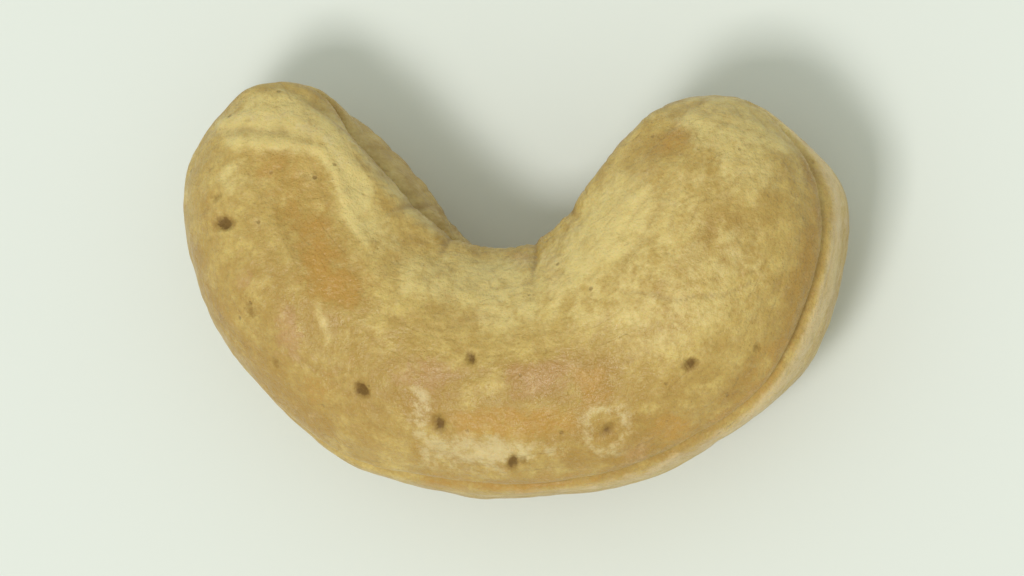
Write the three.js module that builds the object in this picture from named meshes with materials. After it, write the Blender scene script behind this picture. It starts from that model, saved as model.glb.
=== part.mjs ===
// A whole roasted cashew kernel lying on its flank, concave side towards +Y.
// Millimetres, +Z up. The kernel rests on Z = 0, and the middle of its plan is at X = Y = 0.
// Its two seed leaves are grown together, so it is one body: the seam between them runs
// right round it as a crease, down the middle of a valley on the concave side.

import * as THREE from "three";
import { mergeVertices } from "three/addons/utils/BufferGeometryUtils.js";

const FACETS_ROUND = 84;
const FACETS_ALONG = 70;
// How much closer the facets lie at the seam and at the tips than elsewhere, from 0 to 1.
const CROWDING_AT_SEAM = 0.55;
const CROWDING_AT_TIPS = 0.4;

// The outline seen from above, in pairs across the body from the narrow tip to the plump tip.
const NARROW_TIP = [-10.1, 8.75];
const PLUMP_TIP = [9.7, 7.5];
const CONVEX_EDGE = [
  [-12.8, 6.0],
  [-13.5, 2.4],
  [-11.5, -2.3],
  [-7.2, -6.5],
  [-1.3, -8.5],
  [5.0, -7.7],
  [10.6, -4.8],
  [13.3, 0.0],
  [13.2, 4.4],
];
const CONCAVE_EDGE = [
  [-7.0, 7.3],
  [-4.4, 4.8],
  [-2.9, 2.7],
  [-1.6, 1.75],
  [-0.2, 1.5],
  [1.4, 1.9],
  [2.8, 3.3],
  [4.5, 5.6],
  [6.3, 7.1],
];

// Values at the narrow tip, at each of the nine pairs and at the plump tip.
const THICKNESS_PER_WIDTH = [1.0, 1.02, 0.99, 1.0, 1.02, 1.04, 1.03, 0.96, 0.99, 1.05, 1.0];
const MID_HEIGHT = [6.5, 5.0, 4.75, 5.1, 5.15, 4.95, 5.25, 5.4, 5.15, 5.2, 6.3];
// How far the seam is turned up from the middle of the thickness, in degrees.
const CONVEX_SEAM_RISE = [14, 16, 8, 8, 13, 25, 20, 18, 28, 26, 14];
const CONCAVE_SEAM_RISE = [-14, 14, 18, 13, 0, -8, -6, 4, 12, 12, -14];
// How much fuller than an ellipse a section is between its flanks and its edges.
const SECTION_FULLNESS = 0.02;

// Depths and heights are given at the tips, on the convex side and on the concave side.
const SEAM_CREASE = { tip: 0.2, convex: 0.16, concave: 0.4, width: 0.27 };
const SEAM_LIP = { convex: 0.04, concave: 0.1, offset: 0.75, width: 0.4 };
const CONCAVE_VALLEY = { depth: 0.42, width: 1.0, bank: 0.26, bankOffset: 1.95, bankWidth: 0.75 };
// The valley and its banks fade out over this share of the length at each tip.
const VALLEY_FADE = 0.16;
// The root tip of the germ shows as a bud in the seam, inside the narrow tip.
const GERM_BUD = { share: 0.08, length: 1.3, width: 0.7, height: 0.4 };
const GERM_MOAT = { depth: 0.1, offset: 1.9, width: 0.45 };

// Swellings, and shallow dishes below zero, placed in plan. face is 1 above and -1 below.
// The last five raise three low spots that the kernel rests on.
const SWELLINGS = [
  { at: [-7.9, 2.9], reach: [1.9, 3.4], turn: 31, height: -0.28, face: 1 },
  { at: [-12.0, 1.0], reach: [1.6, 3.2], turn: 18, height: 0.08, face: 1 },
  { at: [1.0, -5.6], reach: [2.9, 1.2], turn: 2, height: -0.14, face: 1 },
  { at: [-4.6, -2.2], reach: [2.8, 2.0], turn: -30, height: 0.1, face: 1 },
  { at: [8.6, 1.2], reach: [3.4, 3.0], turn: 40, height: 0.14, face: 1 },
  { at: [3.4, -2.0], reach: [2.2, 2.4], turn: 20, height: -0.1, face: 1 },
  { at: [-9.4, 3.2], reach: [2.2, 3.0], turn: 15, height: 0.14, face: -1 },
  { at: [-0.9, -3.9], reach: [2.6, 2.2], turn: 0, height: 0.18, face: -1 },
  { at: [8.4, 1.6], reach: [2.8, 2.8], turn: 30, height: 0.14, face: -1 },
  { at: [-5.6, -2.4], reach: [2.0, 2.8], turn: -35, height: -0.18, face: -1 },
  { at: [4.2, -2.6], reach: [2.0, 2.8], turn: 35, height: -0.18, face: -1 },
];
// A swelling shows in full from this share of the half thickness outwards.
const FACE_START = 0.45;

// Short folds where the concave side is gathered, in plan. heading is in degrees from +X.
const GATHERS = [
  { at: [1.3, 1.4], heading: -78, length: 2.6, width: 0.3, depth: 0.16, face: 1 },
  { at: [-2.2, 1.9], heading: -104, length: 1.8, width: 0.32, depth: 0.12, face: 1 },
  { at: [-3.6, 3.4], heading: -150, length: 2.0, width: 0.36, depth: 0.1, face: 1 },
  { at: [2.6, 3.2], heading: -42, length: 2.0, width: 0.36, depth: 0.09, face: 1 },
  { at: [-0.6, 1.6], heading: -96, length: 3.2, width: 0.28, depth: 0.2, face: -1 },
  { at: [1.9, 2.4], heading: -58, length: 2.4, width: 0.32, depth: 0.16, face: -1 },
  { at: [-3.4, 2.4], heading: -128, length: 2.6, width: 0.32, depth: 0.16, face: -1 },
];
// A fold starts this far outside its first point, and on this side of the middle height.
const GATHER_LEAD = 1.2;
const GATHER_START = [-0.4, 0.8];

// Long, low waves that keep the skin from being even.
const WAVES = [
  { along: [0.8, 0.5, 0.33], length: 8.4, height: 0.07, phase: 0.4 },
  { along: [-0.4, 0.85, 0.34], length: 6.6, height: 0.055, phase: 2.1 },
  { along: [0.3, -0.35, 0.89], length: 7.4, height: 0.06, phase: 4.0 },
  { along: [0.92, -0.3, -0.25], length: 5.1, height: 0.035, phase: 1.2 },
  { along: [0.15, 0.75, -0.64], length: 4.3, height: 0.03, phase: 5.3 },
];

// The lowest skin is worn flat to this height: a small spot under each lobe and one under the back.
const WORN_FLAT = 0.15;

const FLESH_COLOR = 0xc8aa6b;
const FLESH_ROUGHNESS = 0.6;

const { clamp, degToRad, lerp, smoothstep } = THREE.MathUtils;

function bell(distance, width) {
  return Math.exp(-((distance / width) ** 2));
}

// The four weights of a uniform cubic B-spline at u, from 0 to 1 across one span.
function spanWeights(u) {
  return [
    (1 - u) ** 3 / 6,
    (3 * u ** 3 - 6 * u ** 2 + 4) / 6,
    (-3 * u ** 3 + 3 * u ** 2 + 3 * u + 1) / 6,
    u ** 3 / 6,
  ];
}

// A closed curve with even curvature that passes close to each of its corners.
class SmoothOutline extends THREE.Curve {
  constructor(corners) {
    super();
    const points = corners.map(([x, y]) => new THREE.Vector2(x, y));
    this.poles = points.map((point, i) => {
      const neighbours = points.at(i - 1).clone().add(points[(i + 1) % points.length]);
      return point.clone().multiplyScalar(4 / 3).addScaledVector(neighbours, -1 / 6);
    });
  }

  getPoint(t, target = new THREE.Vector2()) {
    const count = this.poles.length;
    const place = (t % 1) * count;
    const span = Math.floor(place);
    target.set(0, 0);
    spanWeights(place - span).forEach((weight, k) => {
      target.addScaledVector(this.poles[(span + k - 1 + count) % count], weight);
    });
    return target;
  }
}

const outline = new SmoothOutline([
  NARROW_TIP,
  ...CONVEX_EDGE,
  PLUMP_TIP,
  ...CONCAVE_EDGE.toReversed(),
]);

// Blends a row of values at a share of the way from the narrow tip to the plump tip.
// The row is mirrored past both tips, so that the blend is level there.
function valueAt(values, share) {
  const last = values.length - 1;
  const place = share * last;
  const span = Math.min(Math.floor(place), last - 1);
  return spanWeights(place - span).reduce((sum, weight, k) => {
    const index = Math.abs(span + k - 1);
    return sum + weight * values[last - Math.abs(last - index)];
  }, 0);
}

// One cross-section: its middle, the half width that points to the convex edge, its half
// thickness, and how far the seam is turned up on the convex and on the concave side.
function sectionAt(share) {
  const convex = outline.getPoint(share / 2);
  const concave = outline.getPoint(1 - share / 2);
  const reach = convex.clone().sub(concave).multiplyScalar(0.5);
  return {
    share,
    reach,
    middle: convex.add(concave).multiplyScalar(0.5),
    height: valueAt(MID_HEIGHT, share),
    halfThickness: reach.length() * valueAt(THICKNESS_PER_WIDTH, share),
    convexRise: degToRad(valueAt(CONVEX_SEAM_RISE, share)),
    concaveRise: degToRad(valueAt(CONCAVE_SEAM_RISE, share)),
  };
}

// From 0 at the convex seam to 1 at the concave seam.
function concaveShare(angle) {
  return (1 - Math.cos(angle)) / 2;
}

// The smooth body. angle is 0 at the convex seam, a quarter turn on top and a half turn at the
// concave seam.
function bodyPoint(section, angle) {
  const turned = angle + lerp(section.convexRise, -section.concaveRise, concaveShare(angle));
  const fullness = 1 + SECTION_FULLNESS * Math.sin(2 * turned) ** 2;
  const plan = section.middle.clone().addScaledVector(section.reach, Math.cos(turned) * fullness);
  const z = section.height + section.halfThickness * Math.sin(turned) * fullness;
  return new THREE.Vector3(plan.x, plan.y, z);
}

// The crease, its lips and the valley on the concave side. above is the distance over the seam.
function seamRelief({ share }, angle, above) {
  const concave = concaveShare(angle);
  const body = smoothstep(share, 0, VALLEY_FADE) * smoothstep(1 - share, 0, VALLEY_FADE);
  const creaseOnBody = lerp(SEAM_CREASE.convex, SEAM_CREASE.concave, concave);
  const creaseDepth = lerp(SEAM_CREASE.tip, creaseOnBody, body);
  const lipHeight = lerp(SEAM_LIP.convex, SEAM_LIP.concave, concave * body);
  const away = Math.abs(above);
  const valley =
    CONCAVE_VALLEY.bank * bell(away - CONCAVE_VALLEY.bankOffset, CONCAVE_VALLEY.bankWidth) -
    CONCAVE_VALLEY.depth * bell(away, CONCAVE_VALLEY.width);
  return (
    lipHeight * bell(away - SEAM_LIP.offset, SEAM_LIP.width) -
    creaseDepth * bell(away, SEAM_CREASE.width) +
    valley * body * concave ** 3
  );
}

const budMiddle = bodyPoint(sectionAt(GERM_BUD.share), Math.PI);

function budRelief(point, above) {
  const along = Math.hypot(point.x - budMiddle.x, point.y - budMiddle.y);
  const away = Math.hypot(along / GERM_BUD.length, above / GERM_BUD.width);
  return GERM_BUD.height * bell(away, 1) - GERM_MOAT.depth * bell(away - GERM_MOAT.offset, GERM_MOAT.width);
}

// A point's place in plan, measured from a feature's own point and along its own direction.
function planOffset(point, at, degrees) {
  const offset = new THREE.Vector2(point.x - at[0], point.y - at[1]);
  return offset.rotateAround(new THREE.Vector2(), degToRad(-degrees));
}

function swellingRelief(point, section) {
  const high = (point.z - section.height) / Math.max(section.halfThickness, 0.1);
  return SWELLINGS.reduce((sum, { at, reach, turn, height, face }) => {
    const offset = planOffset(point, at, turn);
    const away = Math.hypot(offset.x / reach[0], offset.y / reach[1]);
    return sum + height * bell(away, 1) * smoothstep(high * face, 0, FACE_START);
  }, 0);
}

function gatherRelief(point, section) {
  const high = point.z - section.height;
  return GATHERS.reduce((sum, { at, heading, length, width, depth, face }) => {
    const offset = planOffset(point, at, heading);
    const start = smoothstep(offset.x, -GATHER_LEAD, 0);
    const end = 1 - smoothstep(offset.x, length * 0.4, length);
    return sum - depth * start * end * bell(offset.y, width) * smoothstep(high * face, ...GATHER_START);
  }, 0);
}

function waveRelief(point) {
  return WAVES.reduce((sum, { along, length, height, phase }) => {
    const distance = point.dot(new THREE.Vector3(...along));
    return sum + height * Math.sin((2 * Math.PI * distance) / length + phase);
  }, 0);
}

// A unit sphere gives the facets, with its poles at the tips and no doubled vertices.
function unitBall() {
  const sphere = new THREE.SphereGeometry(1, FACETS_ROUND, FACETS_ALONG);
  sphere.deleteAttribute("normal");
  sphere.deleteAttribute("uv");
  return mergeVertices(sphere, 1e-5);
}

function kernelGeometry() {
  const geometry = unitBall();
  const position = geometry.getAttribute("position");
  const point = new THREE.Vector3();
  const places = [];
  for (let i = 0; i < position.count; i++) {
    point.fromBufferAttribute(position, i);
    const across = Math.acos(clamp(-point.y, -1, 1));
    const round = Math.atan2(point.z, point.x);
    const section = sectionAt((across - (CROWDING_AT_TIPS / 2) * Math.sin(2 * across)) / Math.PI);
    const angle = round - (CROWDING_AT_SEAM / 2) * Math.sin(2 * round);
    places.push({ section, angle });
    position.setXYZ(i, ...bodyPoint(section, angle));
  }
  geometry.computeVertexNormals();
  const normals = geometry.getAttribute("normal");
  const normal = new THREE.Vector3();
  places.forEach(({ section, angle }, i) => {
    point.fromBufferAttribute(position, i);
    normal.fromBufferAttribute(normals, i);
    const above = section.halfThickness * Math.sin(angle);
    const relief =
      seamRelief(section, angle, above) +
      budRelief(point, above) +
      swellingRelief(point, section) +
      gatherRelief(point, section) +
      waveRelief(point);
    point.addScaledVector(normal, relief);
    position.setXYZ(i, ...point);
  });
  return geometry;
}

// Sets the kernel down on its three low spots, with the middle of its plan at the origin.
function setDown(geometry) {
  geometry.computeBoundingBox();
  const { min, max } = geometry.boundingBox;
  geometry.translate(-(min.x + max.x) / 2, -(min.y + max.y) / 2, -min.z - WORN_FLAT);
  const position = geometry.getAttribute("position");
  for (let i = 0; i < position.count; i++) {
    position.setZ(i, Math.max(position.getZ(i), 0));
  }
  geometry.computeVertexNormals();
  return geometry;
}

const flesh = new THREE.MeshStandardMaterial({ color: FLESH_COLOR, roughness: FLESH_ROUGHNESS, metalness: 0 });

const kernel = new THREE.Mesh(setDown(kernelGeometry()), flesh);
kernel.name = "cashew_kernel";

const roastedCashew = new THREE.Group();
roastedCashew.add(kernel);

export default roastedCashew;
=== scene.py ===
"""A roasted cashew kernel lying on its flank, seen from above on a pale studio floor."""

import math

import bmesh
import bpy
import numpy as np
from mathutils import Matrix, Vector, noise


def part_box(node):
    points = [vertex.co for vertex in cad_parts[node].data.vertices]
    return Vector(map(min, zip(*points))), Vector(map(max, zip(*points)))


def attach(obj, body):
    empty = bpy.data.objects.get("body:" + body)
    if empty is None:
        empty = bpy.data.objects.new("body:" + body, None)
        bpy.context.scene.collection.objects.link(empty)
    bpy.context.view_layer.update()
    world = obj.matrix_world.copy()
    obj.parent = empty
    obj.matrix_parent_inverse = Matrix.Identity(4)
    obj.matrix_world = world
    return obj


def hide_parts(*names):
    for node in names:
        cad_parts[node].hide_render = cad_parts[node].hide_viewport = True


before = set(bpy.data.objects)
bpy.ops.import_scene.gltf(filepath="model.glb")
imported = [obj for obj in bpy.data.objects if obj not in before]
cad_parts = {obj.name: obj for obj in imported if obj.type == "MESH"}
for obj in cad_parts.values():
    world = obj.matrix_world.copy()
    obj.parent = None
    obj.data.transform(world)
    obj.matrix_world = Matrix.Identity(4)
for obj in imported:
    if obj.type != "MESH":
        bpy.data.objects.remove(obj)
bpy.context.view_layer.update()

MM = 0.001

# Lengths in these tables are in millimetres, and turns in degrees. The convex side of the kernel is
# its back, and the concave side is the inside of its bend, between the narrow and the plump lobe.

# The kernel's form, as in the solid that it replaces: pairs of points across the body, from the
# narrow tip to the plump tip.
NARROW_TIP = (-10.1, 8.75)
PLUMP_TIP = (9.7, 7.5)
CONVEX_EDGE = [
    (-12.8, 6.0),
    (-13.5, 2.4),
    (-11.5, -2.3),
    (-7.2, -6.5),
    (-1.3, -8.5),
    (5.0, -7.7),
    (10.6, -4.8),
    (13.3, 0.0),
    (13.2, 4.4),
]
CONCAVE_EDGE = [
    (-7.0, 7.3),
    (-4.4, 4.8),
    (-2.9, 2.7),
    (-1.6, 1.75),
    (-0.2, 1.5),
    (1.4, 1.9),
    (2.8, 3.3),
    (4.5, 5.6),
    (6.3, 7.1),
]

# Down the body in even steps, from tip to tip.
THICKNESS_PER_WIDTH = [1.0, 1.02, 0.99, 1.0, 1.02, 1.04, 1.03, 0.96, 0.99, 1.05, 1.0]
MID_HEIGHT = [6.5, 5.0, 4.75, 5.1, 5.15, 4.95, 5.25, 5.4, 5.15, 5.2, 6.3]
CONVEX_SEAM_RISE = [14, 16, 8, 8, 13, 25, 20, 18, 28, 26, 14]
CONCAVE_SEAM_RISE = [-14, 14, 18, 13, 0, -8, -6, 4, 12, 12, -14]
# How much fuller than an ellipse a section is, halfway between its axes.
SECTION_FULLNESS = 0.02
# How far from each tip the depth of the seam fades, as a share of the way from tip to tip.
TIP_REACH = 0.16
# How much is worn off underneath, where the kernel rests.
WORN_FLAT = 0.15

# The mesh: segments round the body and from tip to tip, and how they crowd at seam and tips.
SEGMENTS_ROUND = 264
SEGMENTS_ALONG = 368
CROWDING_AT_SEAM = 0.45
CROWDING_AT_TIPS = 0.4
SPINE_STEPS = 200
# The least half thickness that sizes are divided or measured by, at the very tips.
LEAST_THICKNESS = 0.1
LEAST_GIRTH = 0.2

# The seam's crease and the lips beside it: width, depth or height at the tips and on both edges.
CREASE_WIDTH = 0.27
CREASE_AT_TIPS = 0.2
CREASE_CONVEX = 0.16
CREASE_MORE_IF_CONCAVE = 0.24
LIP_AWAY = 0.75
LIP_WIDTH = 0.4
LIP_HEIGHT = 0.04
LIP_MORE_IF_CONCAVE = 0.06

# The valley that the seam runs in on the concave side, and its shoulders.
VALLEY_WIDTH = 1.0
VALLEY_DEPTH = 0.42
SHOULDER_AWAY = 1.95
SHOULDER_WIDTH = 0.75
SHOULDER_HEIGHT = 0.26

# The bud of the germ: its share of the way from tip to tip, its reach and height, and the furrow
# round it: how many reaches away, its width in reaches, and its depth.
BUD_SHARE = 0.08
BUD_REACH = (1.3, 0.7)
BUD_HEIGHT = 0.4
BUD_FURROW = (1.9, 0.45, 0.1)

# Swellings and shallow dishes: place in plan, reach, turn, height, and 1 for the upper face or -1
# for the lower one.
SWELLINGS = [
    ((-7.9, 2.9), (1.9, 3.4), 31, -0.28, 1),
    ((-12.0, 1.0), (1.6, 3.2), 18, 0.08, 1),
    ((1.0, -5.6), (2.9, 1.2), 2, -0.14, 1),
    ((-4.6, -2.2), (2.8, 2.0), -30, 0.1, 1),
    ((8.6, 1.2), (3.4, 3.0), 40, 0.14, 1),
    ((3.4, -2.0), (2.2, 2.4), 20, -0.1, 1),
    ((-9.4, 3.2), (2.2, 3.0), 15, 0.14, -1),
    ((-0.9, -3.9), (2.6, 2.2), 0, 0.18, -1),
    ((8.4, 1.6), (2.8, 2.8), 30, 0.14, -1),
    ((-5.6, -2.4), (2.0, 2.8), -35, -0.18, -1),
    ((4.2, -2.6), (2.0, 2.8), 35, -0.18, -1),
]
SWELLING_FADE = 0.45

# Folds at the bend: first point in plan, heading, length, width, depth, and face as above.
GATHERS = [
    ((1.3, 1.4), -78, 2.6, 0.2, 0.15, 1),
    ((-2.2, 1.9), -104, 1.8, 0.28, 0.12, 1),
    ((-3.6, 3.4), -150, 2.0, 0.34, 0.1, 1),
    ((2.6, 3.2), -42, 2.0, 0.34, 0.09, 1),
    ((-0.6, 1.6), -96, 3.2, 0.24, 0.2, -1),
    ((1.9, 2.4), -58, 2.4, 0.28, 0.16, -1),
    ((-3.4, 2.4), -128, 2.6, 0.28, 0.16, -1),
]
# How the folds start and end, how brown their bottoms are, and how far that brown strays.
GATHER_LEAD = 1.2
GATHER_FADE = (-0.4, 0.8)
GATHER_FORM_END = (0.4, 1.0)
GATHER_BROWN_END = (0.25, 0.7)
GATHER_BROWN = 0.5
GATHER_BROWN_WIDTH = 0.7
GATHER_STRAY = 0.12

# Long, low waves: direction, wavelength, height, phase.
WAVES = [
    ((0.8, 0.5, 0.33), 8.4, 0.07, 0.4),
    ((-0.4, 0.85, 0.34), 6.6, 0.055, 2.1),
    ((0.3, -0.35, 0.89), 7.4, 0.06, 4.0),
    ((0.92, -0.3, -0.25), 5.1, 0.035, 1.2),
    ((0.15, 0.75, -0.64), 4.3, 0.03, 5.3),
]

# The split in the seam: width, depth, how much deeper on the concave side, how brown, how far it
# wanders, the least of it that is open, and the noise that it wanders and opens by.
SPLIT_WIDTH = 0.12
SPLIT_DEPTH = 0.07
SPLIT_MORE_IF_CONCAVE = 0.12
SPLIT_BROWN = 0.42
SPLIT_WANDER = 0.07
SPLIT_LEAST_OPEN = 0.55
SPLIT_WANDER_GRAIN = (2.2, 9.0, 9.0)
SPLIT_OPEN_GRAIN = (3.1, 9.0, 9.0)

# Furrows along the body and wrinkles across its concave side: depth, sharpness, size of the grain.
FURROW_DEPTH = 0.04
FURROW_SHARPNESS = 9
FURROW_GRAIN = (5.2, 1.5, 1.5)
WRINKLE_DEPTH = 0.045
WRINKLE_SHARPNESS = 6
WRINKLE_GRAIN = (0.9, 3.6, 3.6)

# Pebbling, from coarse to fine: size, height, seed.
PEBBLING = [
    (2.6, 0.055, 8),
    (1.2, 0.045, 9),
    (0.6, 0.022, 10),
    (0.33, 0.011, 12),
]

# Marks are placed as seen from above and a little to one side, on a plane through the seam. They
# show where the skin faces that way, and stray a little from their outlines.
SEAM_PLANE = 5.2
VIEW_SLOPE = (0.218, -0.075)
FACING_FADE = (0.02, 0.3)
STRAY = 0.2
RIDGE_STRAY = 0.4

# Pits: place, radius, depth, how dark.
PITS = [
    ((-11.93, 2.84), 0.3, 0.2, 1.0),
    ((-12.2, 3.95), 0.2, 0.07, 0.55),
    ((-10.85, -0.66), 0.26, 0.09, 0.6),
    ((-9.8, -2.8), 0.2, 0.07, 0.55),
    ((-6.22, -3.95), 0.27, 0.19, 1.0),
    ((-1.74, -2.72), 0.23, 0.14, 0.8),
    ((-3.04, -5.37), 0.27, 0.18, 0.9),
    ((-0.05, -6.92), 0.24, 0.14, 1.0),
    ((0.36, -6.84), 0.16, 0.08, 0.7),
    ((3.81, -5.62), 0.25, 0.14, 0.75),
    ((7.21, -3.08), 0.26, 0.13, 0.9),
    ((9.9, -2.5), 0.16, 0.07, 0.6),
    ((6.17, 1.3), 0.14, 0.06, 0.5),
    ((5.5, 0.4), 0.12, 0.05, 0.45),
    ((9.68, 0.52), 0.14, 0.05, 0.45),
    ((1.31, -2.5), 0.15, 0.05, 0.45),
]
# Pits are a little long, with ragged outlines, a swollen edge and a soft brown halo.
PIT_STRETCH = (0.85, 1.2)
PIT_JAG = 0.08
PIT_LIP = (1.9, 0.5, 0.015)
PIT_HALO = (0.2, 2.2)

# Small pits where the marks don't reach: about how many, radius, depth per radius, how dark.
SMALL_PITS_ELSEWHERE = 18
SMALL_PIT_RADIUS = (0.08, 0.17)
SMALL_PIT_DEPTH = 0.5
SMALL_PIT_DARKNESS = 0.7

# The small blister round one pit: place and radius of its ring, the ring's width and height, how
# far it strays, and how wide and how strongly it is scuffed.
BLISTER = ((3.81, -5.62), 0.85)
BLISTER_RING = (0.24, 0.07)
BLISTER_STRAY = 0.1
BLISTER_SCUFF = (0.28, 0.66)

# The edge of the shallow dish on the narrow lobe, the step round it and the depth inside.
DISH = [
    (-10.9, 5.5),
    (-8.3, 5.6),
    (-7.6, 4.9),
    (-7.4, 3.7),
    (-7.1, 2.4),
    (-6.7, 1.3),
    (-5.9, 0.4),
    (-6.3, -0.5),
    (-7.5, -0.5),
    (-8.4, 0.1),
    (-9.0, 1.2),
    (-9.4, 2.4),
    (-10.0, 3.6),
    (-10.9, 4.4),
]
DISH_STEP = (0.3, 0.3, 0.04)
DISH_DEPTH = 0.08

# Patches of deeper toast, and a few of painted shade: outline, softness of the edge, strength.
TOAST_AND_SHADE_PATCHES = [
    # the top of the dish
    ([(-10.8, 5.5), (-8.3, 5.6), (-7.6, 4.9), (-7.4, 3.7), (-7.3, 2.4), (-9.0, 2.0), (-10.0, 3.2)],
     0.45, 0.16),
    # the lower half of the dish
    ([(-9.6, 3.0), (-7.5, 3.4), (-7.1, 2.2), (-6.6, 1.2), (-5.6, 0.3), (-5.8, -0.8), (-7.4, -0.9),
      (-8.8, 0.2)], 0.7, 0.7),
    # along the back, lightly
    ([(-12.8, 1.8), (-9.6, 1.2), (-7.0, -1.0), (-4.2, -1.2), (-2.4, -3.0), (1.0, -3.2), (4.0, -3.6),
      (5.6, -3.2), (6.4, -5.2), (9.6, -3.2), (11.6, -1.6), (12.4, -2.8), (8.0, -6.6), (3.0, -8.2),
      (-3.0, -8.2), (-8.4, -5.6), (-12.4, -1.4)], 1.1, 0.42),
    # a spot near the plump tip
    ([(5.2, 5.0), (6.1, 5.1), (7.1, 5.5), (7.4, 6.3), (7.0, 6.7), (6.2, 6.5), (5.5, 5.9)], 0.35, 0.7),
    # the plump lobe, towards the seam
    ([(8.6, 4.6), (10.6, 5.0), (12.3, 4.3), (12.5, 1.8), (12.2, 0.0), (11.4, -2.2), (10.6, -1.2),
      (10.8, 0.8), (10.2, 1.8), (8.9, 2.6)], 0.8, 0.18),
    # a band of painted shade along the seam's groove on the plump lobe
    ([(12.0, 2.5), (12.6, 2.3), (12.5, 1.0), (12.1, -0.9), (11.4, -2.3), (10.7, -3.3), (10.4, -2.6),
      (11.0, -1.2), (11.3, 0.6)], 0.45, 1.0),
    # the back, by the narrow lobe
    ([(-9.9, -3.0), (-8.6, -3.2), (-6.4, -5.0), (-4.6, -5.8), (-4.6, -6.7), (-6.8, -6.0),
      (-9.0, -4.4)], 0.8, 0.5),
    # between the blister and the pink patch
    ([(2.3, -2.7), (3.8, -2.6), (4.5, -3.4), (4.4, -4.8), (2.6, -4.9)], 0.5, 0.9),
    # the edge of the narrow lobe
    ([(-13.8, 3.2), (-12.6, 1.6), (-11.2, -1.2), (-9.2, -3.4), (-6.8, -5.4), (-7.4, -6.6),
      (-11.0, -3.8), (-13.6, 0.6)], 0.6, 0.75),
    # the plump lobe, at the bend
    ([(4.6, 4.6), (5.6, 5.0), (6.2, 4.6), (5.6, 4.0), (4.8, 4.1)], 0.4, 0.55),
    # the narrow lobe, at the bend
    ([(-5.6, 3.4), (-4.0, 2.6), (-3.9, 1.2), (-5.2, 1.0), (-6.2, 1.4)], 0.7, 0.35),
    # near the seam below the plump lobe
    ([(8.6, -3.8), (9.8, -2.8), (10.2, -3.4), (9.0, -5.0), (7.6, -5.2)], 0.6, 0.8),
    # the back, below the plump lobe
    ([(6.2, -3.0), (7.6, -2.6), (8.2, -4.4), (7.4, -5.4), (6.0, -5.2)], 0.6, 0.4),
    # round the blister: toast, with painted shade as cast by a kernel lying below
    ([(0.2, -4.9), (3.0, -4.8), (6.4, -4.7), (8.0, -5.4), (6.0, -6.8), (2.6, -7.2), (0.4, -6.6)],
     0.7, 0.7),
    # the back, past the blister
    ([(4.6, -5.0), (6.6, -4.9), (8.4, -5.2), (8.0, -6.4), (5.0, -7.2), (3.2, -7.3), (4.6, -6.4)],
     0.5, 0.6),
    # the middle of the back
    ([(-0.4, -2.8), (2.2, -2.6), (2.4, -4.6), (-0.4, -4.7)], 0.7, 1.0),
    # beside the worn streak
    ([(-4.4, -3.0), (-2.0, -3.2), (-2.0, -5.2), (-4.2, -5.6), (-5.2, -4.4)], 0.6, 0.8),
    # round the largest pit
    ([(-12.9, 4.2), (-12.1, 4.3), (-11.7, 3.2), (-12.0, 2.3), (-12.9, 2.6)], 0.4, 0.5),
    # below the dish
    ([(-10.0, 0.2), (-7.6, 0.0), (-7.0, -1.2), (-7.2, -2.0), (-9.2, -1.6)], 0.6, 0.65),
    # near the edge, by the narrow lobe
    ([(-6.6, -4.9), (-4.9, -5.1), (-4.7, -6.6), (-6.2, -6.4)], 0.5, 0.6),
    # between the blister and the seam
    ([(1.6, -6.3), (4.0, -6.5), (6.2, -6.1), (7.6, -5.9), (5.0, -7.3), (2.0, -7.4)], 0.35, 0.9),
    # a strip along the seam
    ([(-4.4, -7.0), (-1.5, -7.5), (2.4, -7.4), (5.6, -6.8), (8.4, -5.7), (8.6, -6.2), (5.4, -7.6),
      (0.6, -8.2), (-3.4, -7.9)], 0.3, 0.7),
]

# Warm orange patches.
ORANGE = [
    # the lower half of the dish
    ([(-8.9, 3.0), (-7.8, 3.2), (-7.4, 2.0), (-7.0, 1.0), (-6.1, 0.3), (-6.4, -0.6), (-7.9, -0.5),
      (-8.7, 1.0)], 0.8, 0.8),
    # the top of the dish
    ([(-10.9, 5.5), (-9.4, 5.6), (-8.2, 5.5), (-7.7, 4.9), (-7.5, 3.7), (-7.4, 2.4), (-9.2, 2.0),
      (-10.6, 4.2)], 0.35, 0.4),
    # the middle of the back
    ([(-2.6, -4.9), (-1.0, -4.7), (1.0, -4.75), (2.3, -4.9), (2.4, -5.6), (1.4, -5.95),
      (-0.5, -6.0), (-2.3, -5.9)], 0.4, 0.85),
    # past the blister
    ([(5.6, -5.3), (6.4, -5.0), (7.5, -5.3), (7.3, -6.0), (6.3, -6.4), (5.6, -6.0)], 0.4, 0.75),
    # between the blister and the pink patch
    ([(2.4, -3.2), (3.7, -3.3), (4.2, -4.7), (2.7, -4.8)], 0.4, 0.55),
    # the back, by the narrow lobe
    ([(-8.6, -3.4), (-7.4, -3.4), (-7.3, -4.4), (-8.4, -4.6)], 0.4, 0.4),
    # along the seam of the plump lobe
    ([(10.2, -2.0), (11.6, -2.0), (11.0, -4.2), (8.8, -5.6), (7.6, -5.4), (9.6, -4.0)], 0.5, 0.5),
    # the plump lobe, towards the seam
    ([(8.6, 5.2), (10.4, 4.8), (10.8, 3.2), (9.2, 2.8)], 0.6, 0.3),
    # the spot near the plump tip
    ([(5.9, 5.3), (6.9, 5.6), (7.2, 6.3), (6.6, 6.5), (6.0, 6.1)], 0.3, 0.5),
    # a strip along the seam
    ([(-3.8, -7.4), (0.0, -7.7), (3.6, -7.5), (3.4, -8.0), (0.0, -8.2), (-3.6, -7.9)], 0.3, 0.6),
]

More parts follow.
